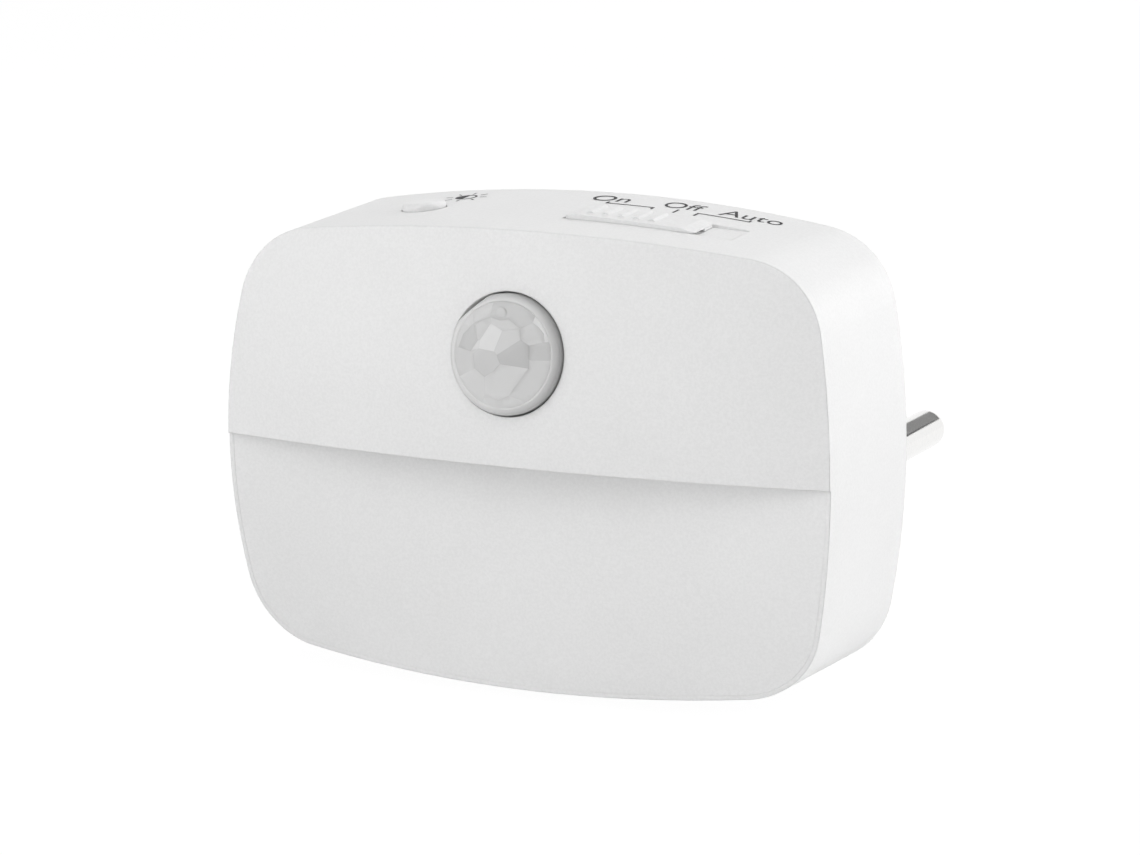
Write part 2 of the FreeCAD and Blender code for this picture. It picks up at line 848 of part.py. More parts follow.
def build_contact(label, side):
    """A springy strip from the board to a pin's tail."""
    contact = new_body(label)
    board = size("board_front") - size("board_thickness")
    pin_x = PLUG_ACROSS + side * size("pin_spacing") / 2
    tail = size("cover_thickness") + size("collar_height") + size("tail_length")
    thick = size("contact_thickness")
    pad_end = pin_x + size("contact_pad")
    pad_start = pin_x - size("contact_pad")
    ramp = pad_start - size("contact_reach")
    foot = ramp - size("contact_foot")
    profile = [
        (foot, -board),
        (ramp, -board),
        (pad_start, -tail - thick),
        (pad_end, -tail - thick),
        (pad_end, -tail),
        (pad_start, -tail),
        (ramp, -board + thick),
        (foot, -board + thick),
    ]
    sketch = add_polygon(new_sketch(contact, "XY_Plane", size("plug_up")), profile)
    pad(contact, sketch, size("contact_width"), symmetric=True)
    return keep(contact)


build_contact("left_contact", -1)
build_contact("right_contact", 1)


# Screws: a shank, a flat head and a driving slot, lying along the depth.

def build_screw(name, x, z, seat, length, head_height):
    """One screw whose head sits behind the plane at depth seat."""
    shank = new_cylinder(name + "_shank", size("screw_radius"), length)
    head = new_cylinder(name + "_head", size("head_radius"), head_height)
    slot = new_box(name + "_slot", 3 * size("head_radius"), size("slot_width"), size("slot_depth"))
    place(shank, x, -seat, z, FORWARDS)
    place(head, x, -seat, z, BACKWARDS)
    slot_y = -seat + head_height - size("slot_depth")
    place(slot, x - 1.5 * size("head_radius"), slot_y, z + size("slot_width") / 2, BACKWARDS)
    whole = new_fuse(name + "_whole", [shank, head])
    return new_cut(name, whole, slot)


cover_seat = size("head_height")
cover_screws = []
for side in (-1, 1):
    for level in (-1, 1):
        name = "cover_screw_%d" % (len(cover_screws) + 1)
        at = (side * POST_ACROSS, level * POST_UP)
        length = size("screw_length") - size("head_height") + size("cover_thickness")
        cover_screws.append(build_screw(name, *at, cover_seat, length, size("head_height")))
keep(new_group("cover_screws", cover_screws))

board_screws = []
for side in (-1, 1):
    name = "board_screw_%d" % (len(board_screws) + 1)
    at = (side * BOARD_POST_ACROSS, BOARD_POST_UP)
    seat = size("board_front") - size("board_thickness")
    length = size("board_screw_length")
    board_screws.append(build_screw(name, *at, seat, length, size("head_height")))
keep(new_group("board_screws", board_screws))

clamp_screws = []
for side in (-1, 1):
    name = "clamp_screw_%d" % (len(clamp_screws) + 1)
    seat = size("cover_thickness") + size("clamp_thickness")
    shank = new_cylinder(name + "_shank", size("screw_radius"), size("clamp_screw_length"))
    head = new_cylinder(name + "_head", size("head_radius"), size("clamp_head_height"))
    z = size("plug_up") + side * size("clamp_screw_offset")
    place(shank, PLUG_ACROSS, -seat, z, BACKWARDS)
    place(head, PLUG_ACROSS, -seat, z, FORWARDS)
    clamp_screws.append(new_fuse(name, [shank, head]))
keep(new_group("clamp_screws", clamp_screws))


# Main board and the light source on its front.

board_back = size("board_front") - size("board_thickness")
board = new_body("main_board")
board_sketch = new_sketch(board, "XZ_Plane", board_back)
half = BOARD_HALF
top, bottom, corner = BOARD_TOP, -BOARD_BOTTOM, size("board_corner")
add_polygon(board_sketch, [
    (-half + corner, bottom),
    (half - corner, bottom),
    (half, bottom + corner),
    (half, top - corner),
    (half - corner, top),
    (-half + corner, top),
    (-half, top - corner),
    (-half, bottom + corner),
])
for side in (-1, 1):
    hole = size("screw_radius") + size("board_hole_gap")
    add_circle(board_sketch, side * BOARD_POST_ACROSS, BOARD_POST_UP, hole)
pad(board, board_sketch, size("board_thickness"))
keep(board)

leds = []
for column in (-1, 0, 1):
    for level in (-0.5, 0.5):
        name = "led_%d" % (len(leds) + 1)
        led = new_box(name, size("led_width"), size("led_height"), size("led_thickness"))
        x = column * size("led_pitch_across") - size("led_width") / 2
        z = size("light_centre") + level * size("led_pitch_up") - size("led_height") / 2
        leds.append(place(led, x, -size("board_front"), z, FORWARDS))
keep(new_group("leds", leds))


def frustum_outline(body, depth, width, height):
    """A rectangle with cut corners at one depth of the light box."""
    cut = size("reflector_corner")
    x, z = width / 2, height / 2
    centre = size("light_centre")
    points = [(-x + cut, -z), (x - cut, -z), (x, -z + cut), (x, z - cut)]
    points += [(x - cut, z), (-x + cut, z), (-x, z - cut), (-x, -z + cut)]
    sketch = new_sketch(body, "XZ_Plane", depth)
    return add_polygon(sketch, [(px, centre + pz) for px, pz in points])


# White light box that leads the light from the board to the lower face.
reflector = new_body("reflector")
panel_back = Size(panel_depth(0, LEDGE) - PANEL)
box_front = panel_back - size("reflector_gap")
box_wall = 2 * size("reflector_wall")
for kind, grow in (("AdditiveLoft", 0), ("SubtractiveLoft", -1)):
    extra = grow * box_wall
    rear = frustum_outline(reflector, size("board_front"),
                           size("reflector_back_width") + extra,
                           size("reflector_back_height") + extra)
    fore = frustum_outline(reflector, box_front,
                           size("reflector_front_width") + extra,
                           size("reflector_front_height") + extra)
    loft = reflector.newObject("PartDesign::" + kind, "reflector_" + kind.lower())
    loft.Profile = rear
    loft.Sections = [fore]
    loft.Ruled = True
keep(reflector)


# Sensor dome, its retaining ring and the sensors behind it.

chord, rise = size("lens_radius"), size("lens_rise")
ball_radius = (chord * chord + rise * rise) / (2 * rise)
lens_base = size("lens_crown") - rise
seat_plane = -size("lens_seat")


def lens_ball(name, radius, centre):
    ball = doc.addObject("Part::Sphere", name)
    bind(ball, "Radius", radius)
    return place(ball, 0, 0, centre)


ball_centre = size("lens_crown") - ball_radius
outer_ball = lens_ball("lens_outer_ball", ball_radius, ball_centre)
crown_room = new_cylinder("lens_crown_room", chord, rise + 1)
place(crown_room, 0, 0, lens_base)
outer_cap = doc.addObject("Part::Common", "lens_outer_cap")
outer_cap.Base = outer_ball
outer_cap.Tool = crown_room
skirt = new_cylinder("lens_skirt", chord, lens_base - seat_plane + size("flange_thickness"))
place(skirt, 0, 0, seat_plane - size("flange_thickness"))
flange = new_cylinder("lens_flange", size("flange_radius"), size("flange_thickness"))
place(flange, 0, 0, seat_plane - size("flange_thickness"))
lens_solid = new_fuse("lens_solid", [outer_cap, skirt, flange])
doc.recompute()
lens_round = doc.addObject("Part::Fillet", "lens_round")
lens_round.Base = lens_solid
lens_round.Edges = [
    (number, size("lens_shoulder").value, size("lens_shoulder").value)
    for number, edge in enumerate(lens_solid.Shape.Edges, start=1)
    if edge.BoundBox.ZMin > lens_base.value - 0.01
]
inner_ball = lens_ball("lens_inner_ball", ball_radius - size("lens_wall"), ball_centre)
inner_room = new_cylinder("lens_inner_room", chord - size("lens_wall"), rise + 1)
place(inner_room, 0, 0, lens_base)
inner_cap = doc.addObject("Part::Common", "lens_inner_cap")
inner_cap.Base = inner_ball
inner_cap.Tool = inner_room
bore = new_cylinder("lens_bore", chord - size("lens_wall"), lens_base - seat_plane + 2)
place(bore, 0, 0, seat_plane - 2)
lens_hollow = new_fuse("lens_hollow", [inner_cap, bore])
lens = new_cut("pir_lens", lens_round, lens_hollow)
lens.Label = "pir_lens"
lens.Placement = LENS
keep(lens)

ring = new_body("lens_ring")
ring_top = seat_plane - size("flange_thickness")
ring_sketch = add_polygon(new_sketch(ring, "XZ_Plane"), [
    (size("ring_opening"), ring_top - size("ring_thickness")),
    (size("flange_radius"), ring_top - size("ring_thickness")),
    (size("flange_radius"), ring_top),
    (size("ring_opening"), ring_top),
])
turn(ring, ring_sketch)
ring.Placement = LENS
keep(ring)

sensor = new_body("pir_sensor")
stand = size("sensor_stand_off")
base_top = stand + size("sensor_base_thickness")
can_top = base_top + size("sensor_can_height")
can_sketch = add_polygon(new_sketch(sensor, "XZ_Plane"), [
    (0, stand),
    (size("sensor_base_radius"), stand),
    (size("sensor_base_radius"), base_top),
    (size("sensor_can_radius"), base_top),
    (size("sensor_can_radius"), can_top),
    (0, can_top),
])
turn(sensor, can_sketch)
lead_sketch = new_sketch(sensor, "XY_Plane")
lead_circle, lead_radius = size("sensor_lead_circle"), size("sensor_lead_radius")
for x, y in ((-lead_circle, 0), (lead_circle, 0), (0, lead_circle)):
    add_circle(lead_sketch, x, y, lead_radius)
pad(sensor, lead_sketch, stand + size("sensor_base_thickness") / 2)
window_sketch = new_sketch(sensor, "XY_Plane", can_top)
add_rectangle(window_sketch, Size(0), Size(0), size("window_width"), size("window_height"))
pocket(sensor, window_sketch, size("window_thickness"))
keep(place(sensor, size("lens_across"), -size("board_front"), SENSOR_UP, FORWARDS))

window_sizes = (size("window_width"), size("window_height"), size("window_thickness"))
window = new_box("pir_window", *window_sizes)
window.Label = "pir_window"
window_depth = size("board_front") + can_top - size("window_thickness")
window_x = size("lens_across") - size("window_width") / 2
window_z = SENSOR_UP - size("window_height") / 2
keep(place(window, window_x, -window_depth, window_z, FORWARDS))

eye = new_body("light_sensor")
eye_base = size("light_sensor_stand_off")
eye_rim = eye_base + size("light_sensor_rim_height")
eye_sketch = add_polygon(new_sketch(eye, "XZ_Plane"), [
    (0, eye_base),
    (size("light_sensor_rim"), eye_base),
    (size("light_sensor_rim"), eye_rim),
    (size("light_sensor_radius"), eye_rim),
    (size("light_sensor_radius"), eye_base + size("light_sensor_height")),
    (0, eye_base + size("light_sensor_height")),
])
eye_solid = turn(eye, eye_sketch)
eye_top = (eye_base + size("light_sensor_height")).value


def at_eye_top(edge):
    return abs(edge.BoundBox.ZMin - eye_top) < 0.01 and len(edge.Vertexes) == 1


round_edges(eye, eye_solid, size("light_sensor_round"), at_eye_top)
eye_leads = new_sketch(eye, "XY_Plane")
for side in (-1, 1):
    add_circle(eye_leads, side * size("light_sensor_radius") / 2, 0, lead_radius)
pad(eye, eye_leads, (eye_base + eye_rim) / 2)
eye_x = size("lens_across") + size("light_sensor_across")
eye_z = SENSOR_UP - size("light_sensor_down")
keep(place(eye, eye_x, -size("board_front"), eye_z, FORWARDS))


# Slide switch: the knob in its sunk bed, its keeper, the lever and the switch.
# At rest the knob stands at its left end, half its travel left of the bed's middle.

knob_rest = -size("slide_travel") / 2
KNOB = BED.multiply(Placement(Vector(knob_rest.value, 0, 0), Rotation()))

knob = new_body("slide_knob")
length, bevel = size("knob_length") / 2, size("knob_bevel")
knob_low, knob_top = -size("knob_sink"), size("knob_top")
knob_back = size("knob_width") / 2
runner_low = size("runner_gap") - size("bed_depth")
plate_sketch = new_sketch(knob, "XY_Plane", runner_low)
add_rectangle(plate_sketch, Size(0), Size(0), size("knob_length"), size("knob_width"))
plate = pad(knob, plate_sketch, knob_top - runner_low)


def is_upright(edge):
    return edge.BoundBox.XLength < 0.01 and edge.BoundBox.YLength < 0.01


round_edges(knob, plate, size("knob_corner"), is_upright)
lift_sketch = add_polygon(new_sketch(knob, "XY_Plane", runner_low), [
    (-length, -knob_back),
    (length, -knob_back),
    (length, size("runner_inset") - knob_back),
    (-length, size("runner_inset") - knob_back),
])
pocket(knob, lift_sketch, knob_low - runner_low, backwards=True)
# A slot in the foot of the right end, for a fingernail.
foot_slot = add_polygon(new_sketch(knob, "XY_Plane", knob_low), [
    (length - size("foot_slot_depth"), -knob_back),
    (length, -knob_back),
    (length, size("runner_inset") - knob_back),
    (length - size("foot_slot_depth"), size("runner_inset") - knob_back),
])
pocket(knob, foot_slot, size("foot_slot_height"), backwards=True)
for side in (-1, 1):
    bevel_sketch = add_polygon(new_sketch(knob, "XZ_Plane", -knob_back), [
        (side * length, Size(0)),
        (side * length, knob_top),
        (side * (length - bevel), knob_top),
    ])
    pocket(knob, bevel_sketch, size("knob_width"), backwards=True)
rib_back = knob_back - size("rib_back_inset")
rib_length = rib_back + knob_back - size("rib_front_inset")
for number in range(int(size("rib_count").value)):
    middle = -length + size("rib_start") + number * size("rib_pitch")
    rib_sketch = new_sketch(knob, "XZ_Plane", -rib_back)
    foot, crest = size("rib_width") / 2, size("rib_width") / 10
    add_polygon(rib_sketch, [
        (middle - foot, knob_top - size("rib_height") / 2),
        (middle + foot, knob_top - size("rib_height") / 2),
        (middle + crest, knob_top + size("rib_height")),
        (middle - crest, knob_top + size("rib_height")),
    ])
    pad(knob, rib_sketch, rib_length)
stem_sketch = new_sketch(knob, "XY_Plane", -size("stem_reach"))
add_rectangle(stem_sketch, Size(0), Size(0), size("stem_length"), size("stem_width"))
pad(knob, stem_sketch, size("stem_reach"))
fork_sketch = new_sketch(knob, "XY_Plane", -size("stem_reach"))
add_rectangle(fork_sketch, Size(0), Size(0), size("lever_length"), 2 * size("stem_width"))
pocket(knob, fork_sketch, size("fork_depth"), backwards=True)
knob.Placement = KNOB
keep(knob)

keeper = new_body("slide_keeper")
keeper_low = -size("keeper_top") - size("keeper_thickness")
keeper_sketch = new_sketch(keeper, "XY_Plane", keeper_low)
add_rectangle(keeper_sketch, Size(0), Size(0), size("keeper_length"), size("keeper_width"))
add_rectangle(keeper_sketch, Size(0), Size(0), size("stem_length"), size("stem_width"))
pad(keeper, keeper_sketch, size("keeper_thickness"))
keeper.Placement = KNOB
keep(keeper)

lever_span = size("slide_travel") + size("lever_length")
lever = new_body("switch_lever")
lever_sketch = new_sketch(lever, "XY_Plane", -size("switch_top") - size("lever_depth"))
add_rectangle(lever_sketch, Size(0), Size(0), size("lever_length"), size("lever_width"))
pad(lever, lever_sketch, size("switch_top") + size("lever_depth") - size("lever_top"))
lever.Placement = SLIDE.multiply(Placement(Vector(knob_rest.value, 0, 0), Rotation()))
keep(lever)

switch = new_body("slide_switch")
switch_depth = 2 * (size("slide_depth") - size("board_front"))
switch_sketch = new_sketch(switch, "XY_Plane", -size("switch_top") - size("switch_height"))
add_rectangle(switch_sketch, Size(0), Size(0), size("switch_length"), switch_depth)
pad(switch, switch_sketch, size("switch_height"))
track_sketch = new_sketch(switch, "XY_Plane", -size("switch_top"))
track_length = lever_span + 2 * size("stem_gap")
track_width = size("lever_width") + 2 * size("stem_gap")
add_rectangle(track_sketch, Size(0), Size(0), track_length, track_width)
pocket(switch, track_sketch, size("lever_depth") + size("lever_clearance"))
switch.Placement = SLIDE
keep(switch)


# Brightness button, and the push switch under it.

button = new_body("brightness_button")
skirt_low = -size("button_skirt")
flange_low = skirt_low - size("button_flange_thickness")
stem_low = -size("button_stem_reach")
button_sketch = add_polygon(new_sketch(button, "XZ_Plane"), [
    (0, stem_low),
    (size("button_stem_radius"), stem_low),
    (size("button_stem_radius"), flange_low),
    (size("button_flange_radius"), flange_low),
    (size("button_flange_radius"), skirt_low),
    (size("button_radius"), skirt_low),
    (size("button_radius"), size("button_height")),
    (0, size("button_height")),
])
button_solid = turn(button, button_sketch)
button_top = size("button_height").value


def at_button_top(edge):
    return abs(edge.BoundBox.ZMin - button_top) < 0.01 and len(edge.Vertexes) == 1


round_edges(button, button_solid, size("button_round"), at_button_top)
button.Placement = BUTTON
keep(button)

plunger = new_body("push_plunger")
plunger_sketch = new_sketch(plunger, "XY_Plane", -size("tact_top") - size("plunger_depth"))
add_circle(plunger_sketch, 0, 0, size("plunger_radius"))
plunger_length = size("tact_top") + size("plunger_depth") - size("button_stem_reach")
pad(plunger, plunger_sketch, plunger_length)
plunger.Placement = BUTTON
keep(plunger)

push_switch = new_body("push_switch")
push_sketch = new_sketch(push_switch, "XY_Plane", -size("tact_top") - size("tact_height"))
push_back = size("button_depth") - size("board_front")
push_front = push_back - size("tact_depth")
half_push = size("tact_width") / 2
add_polygon(push_sketch, [
    (-half_push, push_front),
    (half_push, push_front),
    (half_push, push_back),
    (-half_push, push_back),
])
pad(push_switch, push_sketch, size("tact_height"))
well_sketch = new_sketch(push_switch, "XY_Plane", -size("tact_top"))
add_circle(well_sketch, 0, 0, size("plunger_radius") + size("plunger_clearance"))
well_depth = size("plunger_depth") + size("button_travel") + size("plunger_clearance")
pocket(push_switch, well_sketch, well_depth)
push_switch.Placement = BUTTON
keep(push_switch)


# Power supply parts on the back of the board.

def on_board_back(label, x, z, across, upright, thickness):
    """A block lying flat on the back of the board."""
    block = new_box(label, across, upright, thickness)
    block.Label = label
    return keep(place(block, x - across / 2, -board_back, z + upright / 2, BACKWARDS))


on_board_back("dropper_capacitor", size("dropper_across"), size("dropper_up"),
              size("dropper_length"), size("dropper_height"), size("dropper_thickness"))
on_board_back("bridge_rectifier", size("rectifier_across"), size("rectifier_up"),
              size("rectifier_length"), size("rectifier_height"), size("rectifier_thickness"))

SIDEWAYS = Rotation(Vector(0, 1, 0), 90)
canister = new_cylinder("filter_capacitor", size("filter_radius"), size("filter_length"))
canister.Label = "filter_capacitor"
canister_x = size("filter_across") - size("filter_length") / 2
canister_y = size("filter_radius") - board_back
keep(place(canister, canister_x, canister_y, size("filter_up"), SIDEWAYS))

chip = new_body("controller_chip")
chip_sketch = new_sketch(chip, "XZ_Plane", board_back - size("chip_thickness"))
chip_x, chip_z = size("chip_across"), size("chip_up")
add_rectangle(chip_sketch, chip_x, chip_z, size("chip_length"), size("chip_height"))
pad(chip, chip_sketch, size("chip_thickness"))
leg_thickness = size("contact_thickness") / 2
for number in range(int(size("chip_leg_count").value)):
    place_along = number - (size("chip_leg_count") - 1) / 2
    leg_sketch = new_sketch(chip, "XZ_Plane", board_back - leg_thickness)
    leg_height = size("chip_height") + 2 * size("chip_leg_reach")
    leg_x = chip_x + place_along * size("chip_leg_pitch")
    add_rectangle(leg_sketch, leg_x, chip_z, size("chip_leg_width"), leg_height)
    pad(chip, leg_sketch, leg_thickness)
keep(chip)


def build_resistor(label, x, z):
    """An axial resistor lying along X, its leads bent down to the board."""
    resistor = new_body(label)
    radius, half_length = size("resistor_radius"), size("resistor_length") / 2
    wire, bend = size("resistor_lead_radius"), size("resistor_lead_length")
    axis = size("resistor_radius") + size("solder_gap")
    body_sketch = new_sketch(resistor, "YZ_Plane", -half_length)
    add_circle(body_sketch, axis - board_back, 0, radius)
    pad(resistor, body_sketch, 2 * half_length)
    lead_sketch = new_sketch(resistor, "YZ_Plane", -half_length - bend)
    add_circle(lead_sketch, axis - board_back, 0, wire)
    pad(resistor, lead_sketch, 2 * (half_length + bend))
    leg_radius = size("resistor_leg_radius")
    for side in (-1, 1):
        leg = new_sketch(resistor, "XZ_Plane", board_back - axis - leg_radius)
        add_circle(leg, side * (half_length + bend), 0, leg_radius)
        pad(resistor, leg, axis + leg_radius)
    return keep(place(resistor, x, 0, z))


build_resistor("fuse_resistor", size("fuse_resistor_across"), size("fuse_resistor_up"))
build_resistor("bleed_resistor", size("bleed_resistor_across"), size("bleed_resistor_up"))


# Check every object, then write one file per sub-part.

doc.recompute()
for item in doc.Objects:
    failed = [state for state in item.State if state in ("Invalid", "Error")]
    if failed:
        raise RuntimeError("%s is %s" % (item.Name, failed))
for piece in PIECES:
    if piece.Shape.isNull() or not piece.Shape.isValid():
        raise RuntimeError("%s has no valid shape" % piece.Label)
    if not piece.Shape.Solids:
        raise RuntimeError("%s has no solid" % piece.Label)

os.makedirs("parts", exist_ok=True)
for piece in PIECES:
    box = piece.Shape.BoundBox
    print("%-20s %d solids, %8.1f mm3, X %6.1f %6.1f, Y %6.1f %6.1f, Z %6.1f %6.1f" % (
        piece.Label, len(piece.Shape.Solids), piece.Shape.Volume,
        box.XMin, box.XMax, box.YMin, box.YMax, box.ZMin, box.ZMax))
    piece.Shape.exportStep("parts/%s.step" % piece.Label)

slide_axis = slide_tilt.multVec(Vector(1, 0, 0))
press_axis = button_tilt.multVec(Vector(0, 0, -1))
print("slide axis", tuple(round(v, 5) for v in slide_axis))
print("press axis", tuple(round(v, 5) for v in press_axis))
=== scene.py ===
import bpy
import bmesh
import math
from mathutils import Matrix, Vector
from mathutils.geometry import delaunay_2d_cdt


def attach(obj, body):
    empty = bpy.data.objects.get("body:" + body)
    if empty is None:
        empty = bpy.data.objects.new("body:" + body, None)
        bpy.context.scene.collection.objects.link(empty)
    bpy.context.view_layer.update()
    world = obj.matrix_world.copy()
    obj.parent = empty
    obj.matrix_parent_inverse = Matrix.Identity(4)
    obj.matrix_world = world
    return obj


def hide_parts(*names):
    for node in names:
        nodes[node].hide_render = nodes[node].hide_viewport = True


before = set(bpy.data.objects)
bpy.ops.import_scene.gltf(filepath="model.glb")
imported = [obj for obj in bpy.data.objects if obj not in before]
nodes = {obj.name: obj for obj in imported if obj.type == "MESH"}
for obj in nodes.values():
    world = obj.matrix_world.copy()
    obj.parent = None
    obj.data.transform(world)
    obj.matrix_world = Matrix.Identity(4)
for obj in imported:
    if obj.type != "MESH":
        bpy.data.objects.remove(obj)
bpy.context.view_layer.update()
MM = 0.001

# Front casing. One thin shell moulded in white plastic, with crisp edges. The mould's
# etched face leaves a fine even grain on the front, and a fainter one on the sides.


class Socket:
    """A node's output, on which shader sums are written as plain expressions."""

    def __init__(self, tree, output):
        self.tree = tree
        self.output = output

    def node(self, kind, settings=None, inputs=None, output=0):
        """Add a node beside this one: its settings first, then its sockets."""
        made = self.tree.nodes.new("ShaderNode" + kind)
        for name, value in (settings or {}).items():
            setattr(made, name, value)
        for name, value in (inputs or {}).items():
            if isinstance(value, Socket):
                self.tree.links.new(value.output, made.inputs[name])
            else:
                made.inputs[name].default_value = value
        return Socket(self.tree, made.outputs[output])

    def maths(self, operation, first, second):
        return self.node("Math", {"operation": operation}, {0: first, 1: second})

    def __add__(self, other):
        return self.maths("ADD", self, other)

    def __sub__(self, other):
        return self.maths("SUBTRACT", self, other)

    def __rsub__(self, other):
        return self.maths("SUBTRACT", other, self)

    def __mul__(self, other):
        return self.maths("MULTIPLY", self, other)

    def between(self, low, high):
        """0 below low, 1 above high, and smooth from one to the other."""
        settings = {"interpolation_type": "SMOOTHSTEP"}
        return self.node("MapRange", settings, {"Value": self, "From Min": low, "From Max": high})

    def colour(self, at_zero, at_one):
        """A colour that goes from at_zero to at_one with this value."""
        settings = {"data_type": "RGBA"}
        return self.node("Mix", settings, {0: self, 6: at_zero, 7: at_one}, 2)

    def noise(self, size, detail=2.0):
        """Even cloudy noise whose blotches are about size across, in metres."""
        inputs = {"Vector": self, "Scale": 1 / size, "Detail": detail}
        return self.node("TexNoise", {}, inputs, "Fac")

    def part(self, axis):
        return self.node("SeparateXYZ", {}, {0: self}, axis)

    def bumped(self, height, depth, normal=None):
        """A normal raised by height times depth, in metres."""
        inputs = {"Height": height, "Distance": depth, "Strength": 1.0}
        if normal:
            inputs["Normal"] = normal
        return self.node("Bump", {}, inputs, "Normal")


def rgb(red, green, blue):
    return (red, green, blue, 1.0)


def new_finish(name, roughness, metallic=0.0, **sockets):
    """A material with its shader, and the place on the object to work from."""
    material = bpy.data.materials.new(name)
    material.use_nodes = True
    shader = material.node_tree.nodes["Principled BSDF"]
    shader.inputs["Roughness"].default_value = roughness
    shader.inputs["Metallic"].default_value = metallic
    for socket, value in sockets.items():
        shader.inputs[socket.replace("_", " ")].default_value = value
    place = Socket(material.node_tree, None).node("TexCoord", output="Object")
    return material, shader, place


def feed(shader, name, value):
    value.tree.links.new(value.output, shader.inputs[name])


def dress(material, *names):
    """Give CAD nodes one finish."""
    for name in names:
        nodes[name].data.materials.clear()
        nodes[name].data.materials.append(material)


def moulded_white(name, white, roughness, grain, grain_size, edge=0.0002, on_sides=1.0):
    """White moulded plastic: faintly uneven in tone, with a fine etched grain.

    The grain's depth, its size and the radius of the softened edges are in metres, and
    on_sides is the share of the grain's depth that is left on faces off the front.
    """
    material, shader, place = new_finish(name, roughness)
    skin = place.noise(grain_size, 3) * 0.7 + place.noise(grain_size * 0.4) * 0.3
    tone = place.noise(0.018, 3).between(0.3, 0.7) * 0.3 + skin.between(0.35, 0.65) * 0.7
    dull = white * 0.935
    feed(shader, "Base Color", tone.colour(rgb(dull, dull, dull), rgb(white, white, white)))
    feed(shader, "Roughness", skin.between(0.3, 0.7) * 0.08 + (roughness - 0.04))
    if on_sides < 1:
        facing = 0 - place.node("NewGeometry", output="Normal").part("Y")
        skin = skin * (facing.between(0.75, 0.9) * (1 - on_sides) + on_sides)
    rounded = place.node("Bevel", {"samples": 6}, {"Radius": edge})
    feed(shader, "Normal", place.bumped(skin, grain, rounded))
    return material


dress(moulded_white("casing_white", 0.84, 0.5, 0.00002, 0.00035, 0.00025, 0.35), "housing")

# Lower face. A separate panel of the same white plastic, thin enough for the lamps
# behind it to shine through. It is slid in from behind, under the ledge.

dress(moulded_white("panel_white", 0.84, 0.5, 0.00002, 0.00035, 0.00004), "light_panel")

# Rear cover. A flat moulding with the plug base standing out of it, in the casing's
# own plastic, and screwed into the casing's four posts.

dress(moulded_white("cover_white", 0.8, 0.46, 0.00001, 0.0006), "rear_cover")

# Plug pins. Turned from brass rod and nickel plated, then polished round at the end.
# They are pushed through the cover from inside, up to their collars.

pin_metal, pin_shader, place = new_finish("pin_metal", 0.12, 1.0)
turned = place.node("Mapping", {}, {"Vector": place, "Scale": (1, 4, 1)}).noise(0.0006, 3)
nickel = turned.between(0.3, 0.7).colour(rgb(0.85, 0.845, 0.835), rgb(0.88, 0.875, 0.865))
feed(pin_shader, "Base Color", nickel)
feed(pin_shader, "Roughness", turned * 0.02 + 0.09)
feed(pin_shader, "Normal", place.bumped(turned, 0.0000003))
dress(pin_metal, "left_pin", "right_pin")

# Pin clamp and contact strips. The clamp is a white moulding that holds both collars
# down. The strips are stamped from spring brass and lead from the pins to the board.

inner_white = moulded_white("inner_white", 0.8, 0.42, 0.00001, 0.0009)
dress(inner_white, "pin_clamp", "lens_ring", "slide_keeper", "reflector")

contact_metal, contact_shader, place = new_finish("contact_metal", 0.3, 1.0)
rolled = place.node("Mapping", {}, {"Vector": place, "Scale": (1, 12, 12)}).noise(0.004, 3)
brass = rolled.between(0.3, 0.7).colour(rgb(0.66, 0.5, 0.24), rgb(0.8, 0.63, 0.34))
feed(contact_shader, "Base Color", brass)
feed(contact_shader, "Roughness", rolled * 0.2 + 0.18)
feed(contact_shader, "Normal", place.bumped(rolled, 0.000004))
dress(contact_metal, "left_contact", "right_contact")

# Screws. Zinc-plated steel with a flat slotted head: four hold the cover, two the
# board and two the pin clamp.

screw_steel, screw_shader, place = new_finish("screw_steel", 0.34, 1.0)
plated = place.noise(0.0005, 4)
zinc = plated.between(0.3, 0.7).colour(rgb(0.45, 0.45, 0.46), rgb(0.6, 0.6, 0.6))
feed(screw_shader, "Base Color", zinc)
feed(screw_shader, "Roughness", plated * 0.3 + 0.2)
feed(screw_shader, "Normal", place.bumped(plated, 0.00001))
dress(screw_steel, "cover_screws", "board_screws", "clamp_screws")

# Main board. Glass-fibre laminate under green solder mask, with the mask's slight
# orange peel and the copper tracks showing through it as paler lines.

board_green, board_shader, place = new_finish("board_green", 0.3)
track_layout = {"Vector": place, "Scale": 160.0, "Mortar Size": 0.03}
tracks = place.node("TexBrick", {"offset": 0.5}, track_layout, "Fac")
mask = place.noise(0.003, 3)
green = (mask * 0.4 + tracks * 0.6).colour(rgb(0.02, 0.12, 0.05), rgb(0.05, 0.24, 0.11))
feed(board_shader, "Base Color", green)
feed(board_shader, "Roughness", mask * 0.2 + 0.2)
feed(board_shader, "Normal", place.bumped(mask + tracks, 0.00002))
dress(board_green, "main_board")

# Parts on the back of the board. A dipped film capacitor, an electrolytic can in its
# shrunk sleeve, moulded chips, and two lacquered resistors with tinned leads.


def lacquered(name, dark, light, roughness):
    """A dipped or lacquered skin with small dips in it."""
    material, shader, place = new_finish(name, roughness)
    dips = place.noise(0.0012, 3)
    feed(shader, "Base Color", dips.between(0.3, 0.7).colour(dark, light))
    feed(shader, "Roughness", dips * 0.2 + (roughness - 0.1))
    feed(shader, "Normal", place.bumped(dips, 0.00004))
    return material


